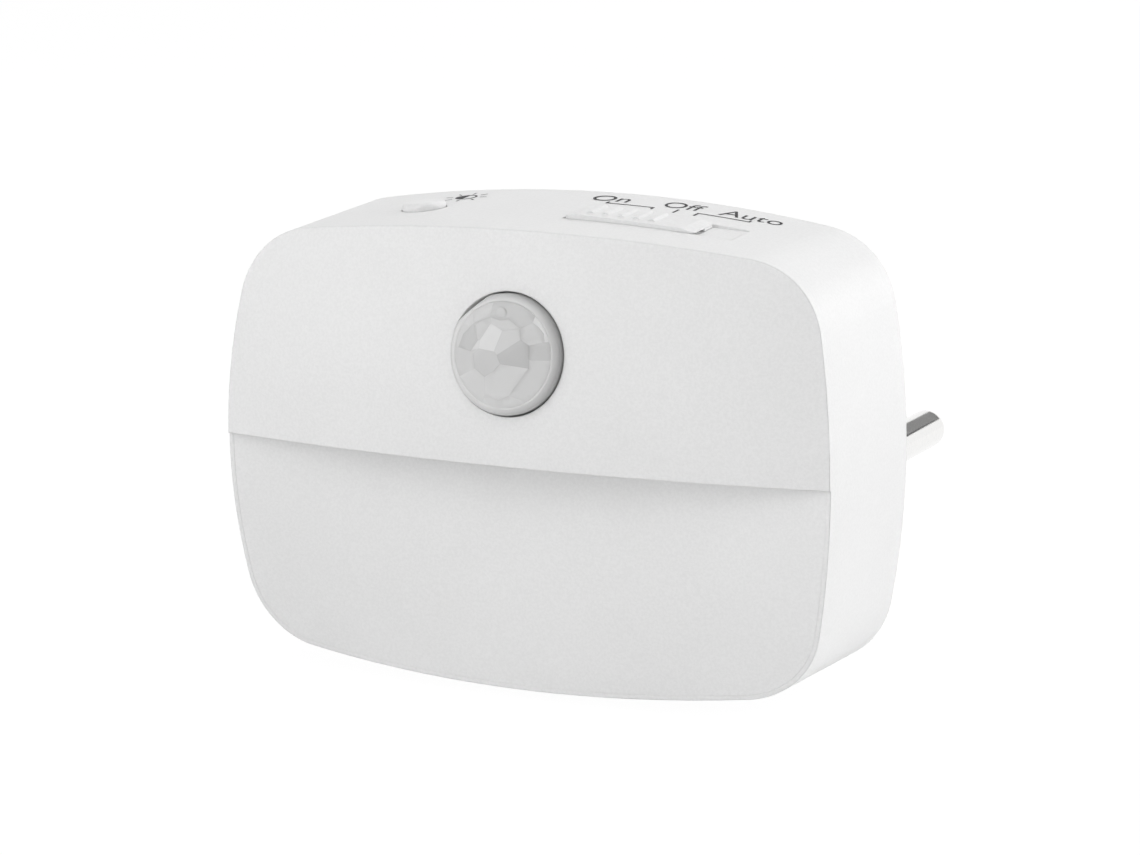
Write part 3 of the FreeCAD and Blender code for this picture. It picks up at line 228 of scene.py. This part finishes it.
dress(lacquered("capacitor_red", rgb(0.32, 0.06, 0.04), rgb(0.45, 0.11, 0.07), 0.3),
      "dropper_capacitor")
dress(lacquered("sleeve_black", rgb(0.02, 0.02, 0.025), rgb(0.05, 0.05, 0.06), 0.28),
      "filter_capacitor")
dress(lacquered("chip_black", rgb(0.03, 0.03, 0.03), rgb(0.07, 0.07, 0.07), 0.55),
      "bridge_rectifier", "controller_chip")
dress(lacquered("resistor_blue", rgb(0.2, 0.34, 0.5), rgb(0.32, 0.47, 0.62), 0.35),
      "fuse_resistor", "bleed_resistor")

# Lamps. Six small surface lamps soldered to the front of the board. Their faces are
# yellow with the coating that turns blue light white.

led_yellow, led_shader, place = new_finish("led_yellow", 0.35)
grains = place.noise(0.0003, 3)
yellow = grains.between(0.35, 0.65).colour(rgb(0.72, 0.6, 0.16), rgb(0.88, 0.78, 0.3))
feed(led_shader, "Base Color", yellow)
feed(led_shader, "Normal", place.bumped(grains, 0.00001))
dress(led_yellow, "leds")

# Sensors behind the dome: a drawn metal can with a dark filter window that sees
# warmth, and a small clear eye that sees daylight.

can_metal, can_shader, place = new_finish("can_metal", 0.3, 1.0)
drawn = place.node("Mapping", {}, {"Vector": place, "Scale": (1, 10, 1)}).noise(0.003, 3)
tin = drawn.between(0.3, 0.7).colour(rgb(0.55, 0.54, 0.5), rgb(0.7, 0.69, 0.65))
feed(can_shader, "Base Color", tin)
feed(can_shader, "Roughness", drawn * 0.2 + 0.2)
dress(can_metal, "pir_sensor")
dress(lacquered("filter_dark", rgb(0.03, 0.025, 0.03), rgb(0.07, 0.06, 0.07), 0.2),
      "pir_window")
dress(lacquered("eye_clear", rgb(0.62, 0.64, 0.66), rgb(0.75, 0.77, 0.79), 0.2),
      "light_sensor")

# Sensor dome. Milky polythene moulded as one thin shell: a low dome cut into small lens cells,
# inside a smooth shoulder. Each cell is a little flatter than the dome. The light and shade
# that fall on each cell, its seams and its shoulder are painted into its colour.

# Millimetres, in a frame with its origin where the dome's axis meets the casing's
# leaning face, and its third axis out of that face.
FACE_DEPTH = 26.927
LENS_LEAN = math.radians(6.899)
lens_place = (Matrix.Translation(Vector((0.1, -FACE_DEPTH, 13.6)) * MM)
              @ Matrix.Rotation(math.radians(90) - LENS_LEAN, 4, "X"))
DOME_RADIUS = 21.07
DOME_CROWN = 2.05
CELL_EDGE = 6.3
RIM_RADIUS = 7.22
FLANGE_RADIUS = 8.4
FLANGE_TOP = -1.75
FLANGE_FOOT = -2.55
WALL = 0.7
# The shoulder's section is part of an ellipse, from this turn on it to the upright rim.
SHOULDER_START = 28
SHOULDER_ACROSS = 1.6
SHOULDER_DROP = 0.9
SHOULDER_STEPS = 9
# Around the rim in degrees: where the cut-off gate left a flat, half its width, and the
# share of the radius that it takes off.
GATE_AT = 130
GATE_HALF = 20
GATE_CUT = 0.042
# Corners of the cells on the dome's face: across and up from its middle.
CORNERS = {
    "a": (-0.3, 0.0), "b": (2.6, 2.0), "c": (3.7, 1.4), "d": (3.8, -1.3),
    "e": (0.2, -1.0), "f": (-3.6, -0.1), "g": (-2.8, 0.6), "h": (-0.7, 0.4),
    "j": (-0.6, -1.9), "k": (-1.9, -2.7), "l": (-3.3, -1.8), "m": (-2.7, 1.6),
    "n": (-1.4, 3.7), "o": (0.2, 2.9), "p": (-1.6, 4.4), "q": (-0.3, 4.1),
    "r": (0.8, 4.3), "s": (2.4, 3.3), "t": (-5.2, 2.1), "u": (-3.8, 3.5),
    "v": (-3.0, 1.5), "w": (-3.9, 0.2), "x": (-5.8, 0.5), "y": (5.5, 1.9),
    "z": (3.2, 3.7), "A": (4.6, 3.6), "B": (3.8, 4.1), "F": (3.8, -0.3),
    "G": (-2.0, -4.9), "H": (-0.1, -5.4), "J": (1.3, -4.7), "K": (2.8, -5.1),
    "Q": (5.3, 2.9),
}
# Each cell: its corners in turn, the stretch of rim in degrees that closes it, and its painted
# shading, how dark the light makes it look from in front; below zero it is a painted highlight.
CELLS = [
    ("aedFcb", None, 0.95), ("flkjeahg", None, 0.6), ("ghonm", None, 0.05),
    ("habso", None, 0.5), ("osrqpn", None, 0.55), ("uvmnp", None, 0.7),
    ("xwvut", None, 0.85), ("wgmv", None, 0.25), ("lfgwx", (175, 208), 0.4),
    ("Gkl", (208, 248), 0.15), ("kGHJdej", None, 0.12), ("FdJK", (299, 358), 0.2),
    ("ycF", (-2, 18), 0.6), ("bcyQABzs", None, 0.4), ("BAQy", (18, 50), -0.2),
    ("pqrszB", (50, 104), 0.75), ("up", (104, 131), 0.45), ("xtu", (131, 175), 0.3),
    ("KJHG", (248, 299), 0.1),
]
SEAM_WIDTH = 0.09
SEAM_DEPTH = 0.012
# The seams' painted shade, added to the cell's own painted shading.
SEAM_PAINTED_SHADE = 0.15
# The net of points inside a cell: across a row, from row to row, and clear of the edge.
NET_ACROSS = 0.5
NET_UP = 0.43
NET_CLEAR = 0.38
# The cell with a smaller round lens on it, and that lens: across, up, radius and rise.
TOP_CELL = "pqrszB"
SMALL_LENS = (-0.3, 4.9, 0.75, 0.06)
SMALL_LENS_SUNK = 0.03
# The small lens's painted shade.
SMALL_LENS_PAINTED_SHADE = 0.55


def add_object(name, data):
    made = bpy.data.objects.new(name, data)
    bpy.context.scene.collection.objects.link(made)
    return made


def add_mesh(name, mesh):
    """Put a finished mesh into the scene as an object."""
    data = bpy.data.meshes.new(name)
    mesh.to_mesh(data)
    mesh.free()
    return add_object(name, data)


def dome_height(radius):
    return DOME_CROWN - DOME_RADIUS + math.sqrt(DOME_RADIUS ** 2 - radius ** 2)


def cell_outline(corners, stretch):
    outline = [Vector(CORNERS[name]) for name in corners]
    if stretch:
        first, last = stretch
        steps = round((last - first) / 4)
        turns = [math.radians(first + (last - first) * i / steps) for i in range(steps + 1)]
        outline += [Vector((CELL_EDGE * math.cos(t), CELL_EDGE * math.sin(t))) for t in turns]
    return outline


def moved_in(outline, width):
    """The outline, which runs to the left, with every side moved inwards by width."""
    moved = []
    for before, here, after in zip(outline[-1:] + outline[:-1], outline, outline[1:] + outline[:1]):
        come, leave = (here - before).normalized(), (after - here).normalized()
        inwards = Vector((-come.y - leave.y, come.x + leave.x)).normalized()
        slant = max(inwards.dot(Vector((-come.y, come.x))), 0.5)
        moved.append(here + inwards * width / slant)
    return moved


def add_cell(dome, corners, stretch, painted_shading):
    """Lay one cell on the dome like a film held at its edge, which has a fine groove, and paint the
    cell's shading onto it.
    """
    rim = [Vector((p.x, p.y, dome_height(p.length))) for p in cell_outline(corners, stretch)]
    edge = []
    for here, after in zip(rim, rim[1:] + rim[:1]):
        pieces = math.ceil((after - here).length / NET_ACROSS)
        edge += [here.lerp(after, i / pieces) for i in range(pieces)]
    flat_edge = [p.xy for p in edge]
    count = len(edge)
    spots = flat_edge + moved_in(flat_edge, SEAM_WIDTH)
    for column in range(-13, 14):
        for row in range(-15, 16):
            spot = Vector((NET_ACROSS * (column + 0.5 * (row % 2)), NET_UP * row))
            if min((spot - p).length for p in flat_edge) > NET_CLEAR:
                spots.append(spot)
    loops = [list(range(count)), list(range(count, 2 * count))]
    laid, _, faces, sources, _, _ = delaunay_2d_cdt(spots, [], loops, 1, 0.00001)
    on_edge = [[i for i in source if i < count] for source in sources]
    heights = [edge[own[0]].z if own else dome_height(p.length) for own, p in zip(on_edge, laid)]
    near = [set() for _ in laid]
    for face in faces:
        for here, after in zip(face, face[1:] + face[:1]):
            near[here].add(after)
            near[after].add(here)
    # The film settles: each inner point goes to the mean height of those around it.
    for _ in range(60):
        for i, own in enumerate(on_edge):
            if near[i] and not own:
                heights[i] = sum(heights[j] for j in near[i]) / len(near[i])
    level = dome.verts.layers.float["painted_cell_shading"]
    made = {}
    for i, own in enumerate(on_edge):
        if near[i]:
            seam = 1 if own and laid[i].length < CELL_EDGE - 0.02 else 0
            made[i] = dome.verts.new((laid[i].x, laid[i].y, heights[i] - SEAM_DEPTH * seam))
            # Painted shading: the cell's own, darker along the groove for the shade in it.
            made[i][level] = painted_shading + SEAM_PAINTED_SHADE * seam
    for face in faces:
        dome.faces.new([made[i] for i in face]).smooth = True
    return list(made.values())


def add_turned(dome, profile, centre=(0, 0), steps=120):
    """Turn a profile of radius and height round, as one smooth skin."""
    rings = []
    for radius, height in profile:
        ring = []
        for i in range(steps):
            turn = math.tau * i / steps
            x, y = centre[0] + radius * math.cos(turn), centre[1] + radius * math.sin(turn)
            ring.append(dome.verts.new((x, y, height)))
        rings.append(ring)
    for low, high in zip(rings, rings[1:]):
        for i in range(steps):
            after = (i + 1) % steps
            dome.faces.new([high[i], high[after], low[after], low[i]]).smooth = True
    return rings


def shoulder():
    """The section of the dome outside its cells, from their edge to the flange and back in."""
    edge = dome_height(CELL_EDGE)
    first = math.radians(SHOULDER_START)
    # It begins with a short skirt tucked under the cells' edge.
    section = [(CELL_EDGE - 0.05, edge - 0.3), (CELL_EDGE, edge)]
    for step in range(1, SHOULDER_STEPS + 1):
        turn = math.radians(SHOULDER_START + (90 - SHOULDER_START) * step / SHOULDER_STEPS)
        radius = RIM_RADIUS - SHOULDER_ACROSS * (1 - math.sin(turn))
        section.append((radius, edge - SHOULDER_DROP * (math.cos(first) - math.cos(turn))))
    section += [(RIM_RADIUS, FLANGE_TOP), (FLANGE_RADIUS, FLANGE_TOP), (FLANGE_RADIUS, FLANGE_FOOT)]
    return section + [(RIM_RADIUS - WALL, FLANGE_FOOT), (RIM_RADIUS - WALL, -0.2)]


def build_dome():
    mesh = bmesh.new()
    level = mesh.verts.layers.float.new("painted_cell_shading")
    for corners, stretch, painted_shading in CELLS:
        laid = add_cell(mesh, corners, stretch, painted_shading)
        if corners == TOP_CELL:
            across, up, radius, rise = SMALL_LENS
            here = Vector((across, up))
            floor = min(laid, key=lambda v: (v.co.xy - here).length).co.z
            turns = [math.radians(90 - 15 * i) for i in range(6)]
            foot = floor - SMALL_LENS_SUNK
            rise += SMALL_LENS_SUNK
            cap = [(radius * math.sin(t), foot + rise * math.cos(t)) for t in turns[::-1]]
            small = add_turned(mesh, cap, (across, up), 24)
            mesh.faces.new(small[0]).smooth = True
            # The small lens takes its painted shade.
            for ring in small:
                for corner in ring:
                    corner[level] = SMALL_LENS_PAINTED_SHADE
    section = shoulder()
    rings = add_turned(mesh, section)
    # The shoulder gets painted shade: darker as it turns down into the gap, and darker to the
    # right, least on the lit left. It has a small flat where the gate was cut off.
    visible = SHOULDER_STEPS + 3
    for (radius, _), ring in zip(section[:visible], rings):
        outwards = max(radius - CELL_EDGE, 0) / (RIM_RADIUS - CELL_EDGE)
        for i, corner in enumerate(ring):
            around = 360 * i / len(ring)
            corner[level] = 0.8 * outwards ** 2 + 0.1 + 0.3 * math.cos(math.radians(around))
            aside = (around - GATE_AT) / GATE_HALF
            corner.co.xy *= 1 - GATE_CUT * outwards * max(1 - aside ** 2, 0)
    mesh.transform(lens_place @ Matrix.Scale(MM, 4))
    return add_mesh("sensor_dome", mesh)


dome = build_dome()
lens_milky, lens_shader, place = new_finish("lens_milky", 0.34, IOR=1.5)
# Painted shading from the cells, seams and shoulder darkens the milky colour; the cloud is the
# plastic's own uneven milkiness.
painted_cell_shading = place.node("Attribute", {"attribute_name": "painted_cell_shading"}, output="Fac")
cloud = place.noise(0.0022, 2)
depth = painted_cell_shading * 0.42 + (cloud * 0.08 + 0.08)
feed(lens_shader, "Base Color", depth.colour(rgb(0.74, 0.74, 0.738), rgb(0.28, 0.28, 0.28)))
feed(lens_shader, "Roughness", cloud * 0.1 + 0.3)
feed(lens_shader, "Normal", place.bumped(cloud, 0.00001))
dome.data.materials.append(lens_milky)
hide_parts("pir_lens")
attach(dome, "casing")

# Slide switch. A white ribbed plate that lies in a shallow bed in the casing's top.
# Its stem goes down through a slot to the black switch on the board's edge.

control_white = moulded_white("control_white", 0.84, 0.4, 0.000006, 0.0006, 0.00015)
dress(control_white, "slide_knob")

switch_black, switch_shader, place = new_finish("switch_black", 0.45)
speckle = place.noise(0.0008, 3)
feed(switch_shader, "Base Color", speckle.colour(rgb(0.03, 0.03, 0.032), rgb(0.08, 0.08, 0.085)))
feed(switch_shader, "Normal", place.bumped(speckle, 0.00002))
dress(switch_black, "switch_lever", "slide_switch")

# Brightness button. A round white button with a softened edge, moulded with the
# flange that keeps it in and the stem that presses the small switch under it.

dress(control_white, "brightness_button")
dress(switch_black, "push_plunger", "push_switch")

# Printing on top: the three switch positions, the lines that lead to them, and a
# lamp-brightness symbol behind the button, all pad printed in one dark ink.

ink, ink_shader, place = new_finish("dark_ink", 0.6, Specular_IOR_Level=0.15)
worn = place.noise(0.0009, 4)
black = worn.between(0.45, 0.75).colour(rgb(0.03, 0.03, 0.032), rgb(0.07, 0.07, 0.07))
feed(ink_shader, "Base Color", black)
feed(ink_shader, "Roughness", worn * 0.2 + 0.5)
feed(ink_shader, "Normal", place.bumped(worn, 0.000004))
INK_LIFT = 0.03
PIECE_LENGTH = 0.8
# The casing's side walls, in millimetres: their depth, and from the back to the front
# edge the half height, the half width and the rise of the arched top.
WALL_DEPTH = 24.2
BACK_HALF_HEIGHT, HEIGHT_LOSS = 29.45, 1.4
BACK_HALF_WIDTH, WIDTH_LOSS = 40.4, 0.4
BACK_RISE, RISE_LOSS = 4.4, 1.0


def top_height(x, y):
    """Height of the casing's top at x and y, in millimetres."""
    share = -y / WALL_DEPTH
    half_height = BACK_HALF_HEIGHT - HEIGHT_LOSS * share
    half_width = BACK_HALF_WIDTH - WIDTH_LOSS * share
    rise = BACK_RISE - RISE_LOSS * share
    return half_height - rise * (x / half_width) ** 2


def print_on_top(name, faces):
    """Lay flat outlines, given in millimetres, on the casing's top as one print."""
    mesh = bmesh.new()
    for outline in faces:
        mesh.faces.new([mesh.verts.new((x, y, 0)) for x, y in outline])
    bmesh.ops.triangulate(mesh, faces=mesh.faces[:])
    for _ in range(3):
        long_edges = [e for e in mesh.edges if e.calc_length() > PIECE_LENGTH]
        bmesh.ops.subdivide_edges(mesh, edges=long_edges, cuts=1)
        bmesh.ops.triangulate(mesh, faces=[f for f in mesh.faces if len(f.verts) > 3])
    for corner in mesh.verts:
        corner.co.z = top_height(corner.co.x, corner.co.y) + INK_LIFT
    bmesh.ops.recalc_face_normals(mesh, faces=mesh.faces[:])
    for face in mesh.faces:
        if face.normal.z < 0:
            face.normal_flip()
    mesh.transform(Matrix.Scale(MM, 4))
    printed = add_mesh(name, mesh)
    printed.data.materials.append(ink)
    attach(printed, "casing")


def word_faces(text, left, right, base, cap):
    """The letters of a word as flat triangles between the given bounds."""
    letters = bpy.data.curves.new("letters", "FONT")
    letters.body = text
    letters.resolution_u = 6
    writer = add_object("letters", letters)
    bpy.context.view_layer.update()
    shaped = writer.evaluated_get(bpy.context.evaluated_depsgraph_get())
    drawn = bpy.data.meshes.new_from_object(shaped)
    bpy.data.objects.remove(writer)
    xs = [v.co.x for v in drawn.vertices]
    ys = [v.co.y for v in drawn.vertices]
    wide, tall = max(xs) - min(xs), max(ys) - min(ys)

    def put(corner):
        x = left + (corner.x - min(xs)) / wide * (right - left)
        return x, base + (corner.y - min(ys)) / tall * (cap - base)

    faces = [[put(drawn.vertices[i].co) for i in face.vertices] for face in drawn.polygons]
    bpy.data.meshes.remove(drawn)
    return faces


def stroke(points, width=0.28):
    """A printed line of even width through points, one four-sided piece to a run."""
    faces = []
    for (ax, ay), (bx, by) in zip(points, points[1:]):
        length = math.hypot(bx - ax, by - ay)
        ux, uy = (bx - ax) / length * width / 2, (by - ay) / length * width / 2
        faces.append([(ax - ux - uy, ay - uy + ux), (ax - ux + uy, ay - uy - ux),
                      (bx + ux + uy, by + uy - ux), (bx + ux - uy, by + uy + ux)])
    return faces


print_on_top("word_on", word_faces("On", 0.6, 5.6, -5.1, -2.2))
print_on_top("word_off", word_faces("Off", 10.2, 15.25, -5.1, -2.1))
print_on_top("word_auto", word_faces("Auto", 17.7, 25.7, -5.1, -2.2))
leaders = stroke([(3.5, -5.5), (3.5, -6.2), (9.75, -6.2), (9.75, -6.95)])
leaders += stroke([(12.85, -5.75), (12.85, -7.35)])
leaders += stroke([(15.6, -7.35), (15.6, -6.05), (22.2, -6.05), (22.2, -5.45)])
print_on_top("leader_lines", leaders)

# The symbol is a small sun: half of its disc is filled, half is outlined, with rays.
SUN_X, SUN_Y = -16.2, -5.2
DISC_RADIUS = 1.4
OUTLINE_WIDTH = 0.26
RAY_ENDS = (1.95, 2.7)
RAY_WIDTH = 0.2


def on_sun(radius, degrees):
    turn = math.radians(degrees)
    return SUN_X + radius * math.cos(turn), SUN_Y + radius * math.sin(turn)


outline_radius = DISC_RADIUS - OUTLINE_WIDTH / 2
sun = [[on_sun(DISC_RADIUS, a) for a in range(90, 271, 10)]]
sun += stroke([on_sun(outline_radius, a) for a in range(-90, 91, 15)], OUTLINE_WIDTH)
for ray in range(8):
    sun += stroke([on_sun(radius, 45 * ray) for radius in RAY_ENDS], RAY_WIDTH)
print_on_top("brightness_symbol", sun)

# Studio: a pale floor, seven large soft lamps around and above the light, and a white
# surround that is seen and mirrored but casts no light. The camera stands where the
# photo's did.

FLOOR = -29.5 * MM


def seen_plainly(beside):
    """1 where a thing is seen itself, mirrored or through something, and 0 for its light."""
    rays = beside.node("LightPath").output.node.outputs
    straight, mirrored, through = [
        Socket(beside.tree, rays[name])
        for name in ("Is Camera Ray", "Is Glossy Ray", "Is Transmission Ray")]
    return beside.maths("MAXIMUM", beside.maths("MAXIMUM", straight, mirrored), through)


def floor_finish():
    """White paper that glows enough to look like the surround, and still shows a shadow."""
    material, shader, place = new_finish("floor_white", 0.9)
    fibres = place.noise(0.02, 3)
    feed(shader, "Base Color", fibres.colour(rgb(0.88, 0.88, 0.88), rgb(0.9, 0.9, 0.9)))
    glow = place.node("Emission", {}, {"Strength": 1.036})
    surface = Socket(material.node_tree, shader.outputs[0])
    mixed = place.node("MixShader", {}, {0: seen_plainly(place) * 0.94, 1: surface, 2: glow})
    feed(material.node_tree.nodes["Material Output"], "Surface", mixed)
    return material


floor_mesh = bmesh.new()
bmesh.ops.create_circle(floor_mesh, cap_ends=True, radius=4.0, segments=96)
floor_mesh.transform(Matrix.Translation((0, 0, FLOOR)))
floor = add_mesh("studio_floor", floor_mesh)
floor.data.materials.append(floor_finish())


CARD_REACH = 0.8
CARD_HALF = 22
CARD_STEPS = 8
CARD_TOP = 37
CARD_FOOT_LEFT = 19
CARD_FOOT_RIGHT = 15
CARD_BLACK_FROM = 0.22


def dark_card():
    """A grey card with a black right edge, behind the set, for the bright pin to mirror.

    It is bent round the light. Its reach and the place of its black edge are in metres,
    and its half width, top and slanting foot in degrees as seen from the light.
    """
    card = bmesh.new()
    pairs = []
    for step in range(CARD_STEPS + 1):
        share = step / CARD_STEPS
        round_by = math.radians(CARD_HALF * (2 * share - 1))
        foot = CARD_FOOT_LEFT + (CARD_FOOT_RIGHT - CARD_FOOT_LEFT) * share
        pair = []
        for rise in (math.radians(foot), math.radians(CARD_TOP)):
            flat = CARD_REACH * math.cos(rise)
            height = CARD_REACH * math.sin(rise)
            spot = (flat * math.sin(round_by), flat * math.cos(round_by), height)
            pair.append(card.verts.new(spot))
        pairs.append(pair)
    for (a, b), (c, d) in zip(pairs, pairs[1:]):
        card.faces.new([a, c, d, b])
    made = add_mesh("dark_card", card)
    paper, shader, place = new_finish("card_dark", 0.9)
    grey = (CARD_BLACK_FROM - place.part("X")).between(0, 0.01) * 0.3 + place.noise(0.1, 2) * 0.03
    feed(shader, "Base Color", grey.colour(rgb(0.02, 0.02, 0.02), rgb(1, 1, 1)))
    made.data.materials.append(paper)


dark_card()


def soft_lamp(name, round_by, above, watts):
    """A square lamp one metre off that looks at the casing, round_by degrees to the right."""
    data = bpy.data.lights.new(name, "AREA")
    data.size = 0.7
    data.energy = watts
    lamp = add_object(name, data)
    turn, rise = math.radians(round_by), math.radians(above)
    flat = math.cos(rise)
    lamp.location = (math.sin(turn) * flat, -math.cos(turn) * flat, math.sin(rise))
    aim = Vector((0, -0.01, 0)) - lamp.location
    lamp.rotation_euler = aim.to_track_quat("-Z", "Y").to_euler()


soft_lamp("left_lamp", -30, 20, 3.8)
soft_lamp("far_left_lamp", -60, 20, 0.95)
soft_lamp("front_top_lamp", 0, 60, 3.4)
soft_lamp("right_lamp", 60, 15, 1.3)
soft_lamp("back_right_lamp", 125, 12, 7.5)
soft_lamp("back_top_lamp", 150, 35, 0.94)
soft_lamp("top_lamp", 180, 50, 4.3)

world = bpy.data.worlds.new("studio")
bpy.context.scene.world = world
world.use_nodes = True
sky = Socket(world.node_tree, world.node_tree.nodes["Background"].outputs[0])
backdrop = world.node_tree.nodes["Background"]
backdrop.inputs["Color"].default_value = rgb(1, 1, 1)
feed(backdrop, "Strength", seen_plainly(sky))

camera_data = bpy.data.cameras.new("camera")
camera_data.sensor_width = 36
camera_data.sensor_fit = "HORIZONTAL"
camera_data.lens = 115.28
camera_data.clip_start, camera_data.clip_end = 0.01, 20
camera = add_object("camera", camera_data)
bpy.context.scene.camera = camera
round_by, above, roll = math.radians(25.628), math.radians(11.788), math.radians(-0.237)
flat = math.cos(above)
away = Vector((math.sin(round_by) * flat, -math.cos(round_by) * flat, math.sin(above)))
level = (-away).cross(Vector((0, 0, 1))).normalized()
rising = level.cross(-away)
side = level * math.cos(roll) + rising * math.sin(roll)
top = rising * math.cos(roll) - level * math.sin(roll)
stand = (away * 456.99 + side * -4.111 + top * -0.311) * MM
camera.matrix_world = Matrix.Translation(stand) @ Matrix((side, top, away)).transposed().to_4x4()

bpy.context.scene.view_settings.view_transform = "Standard"
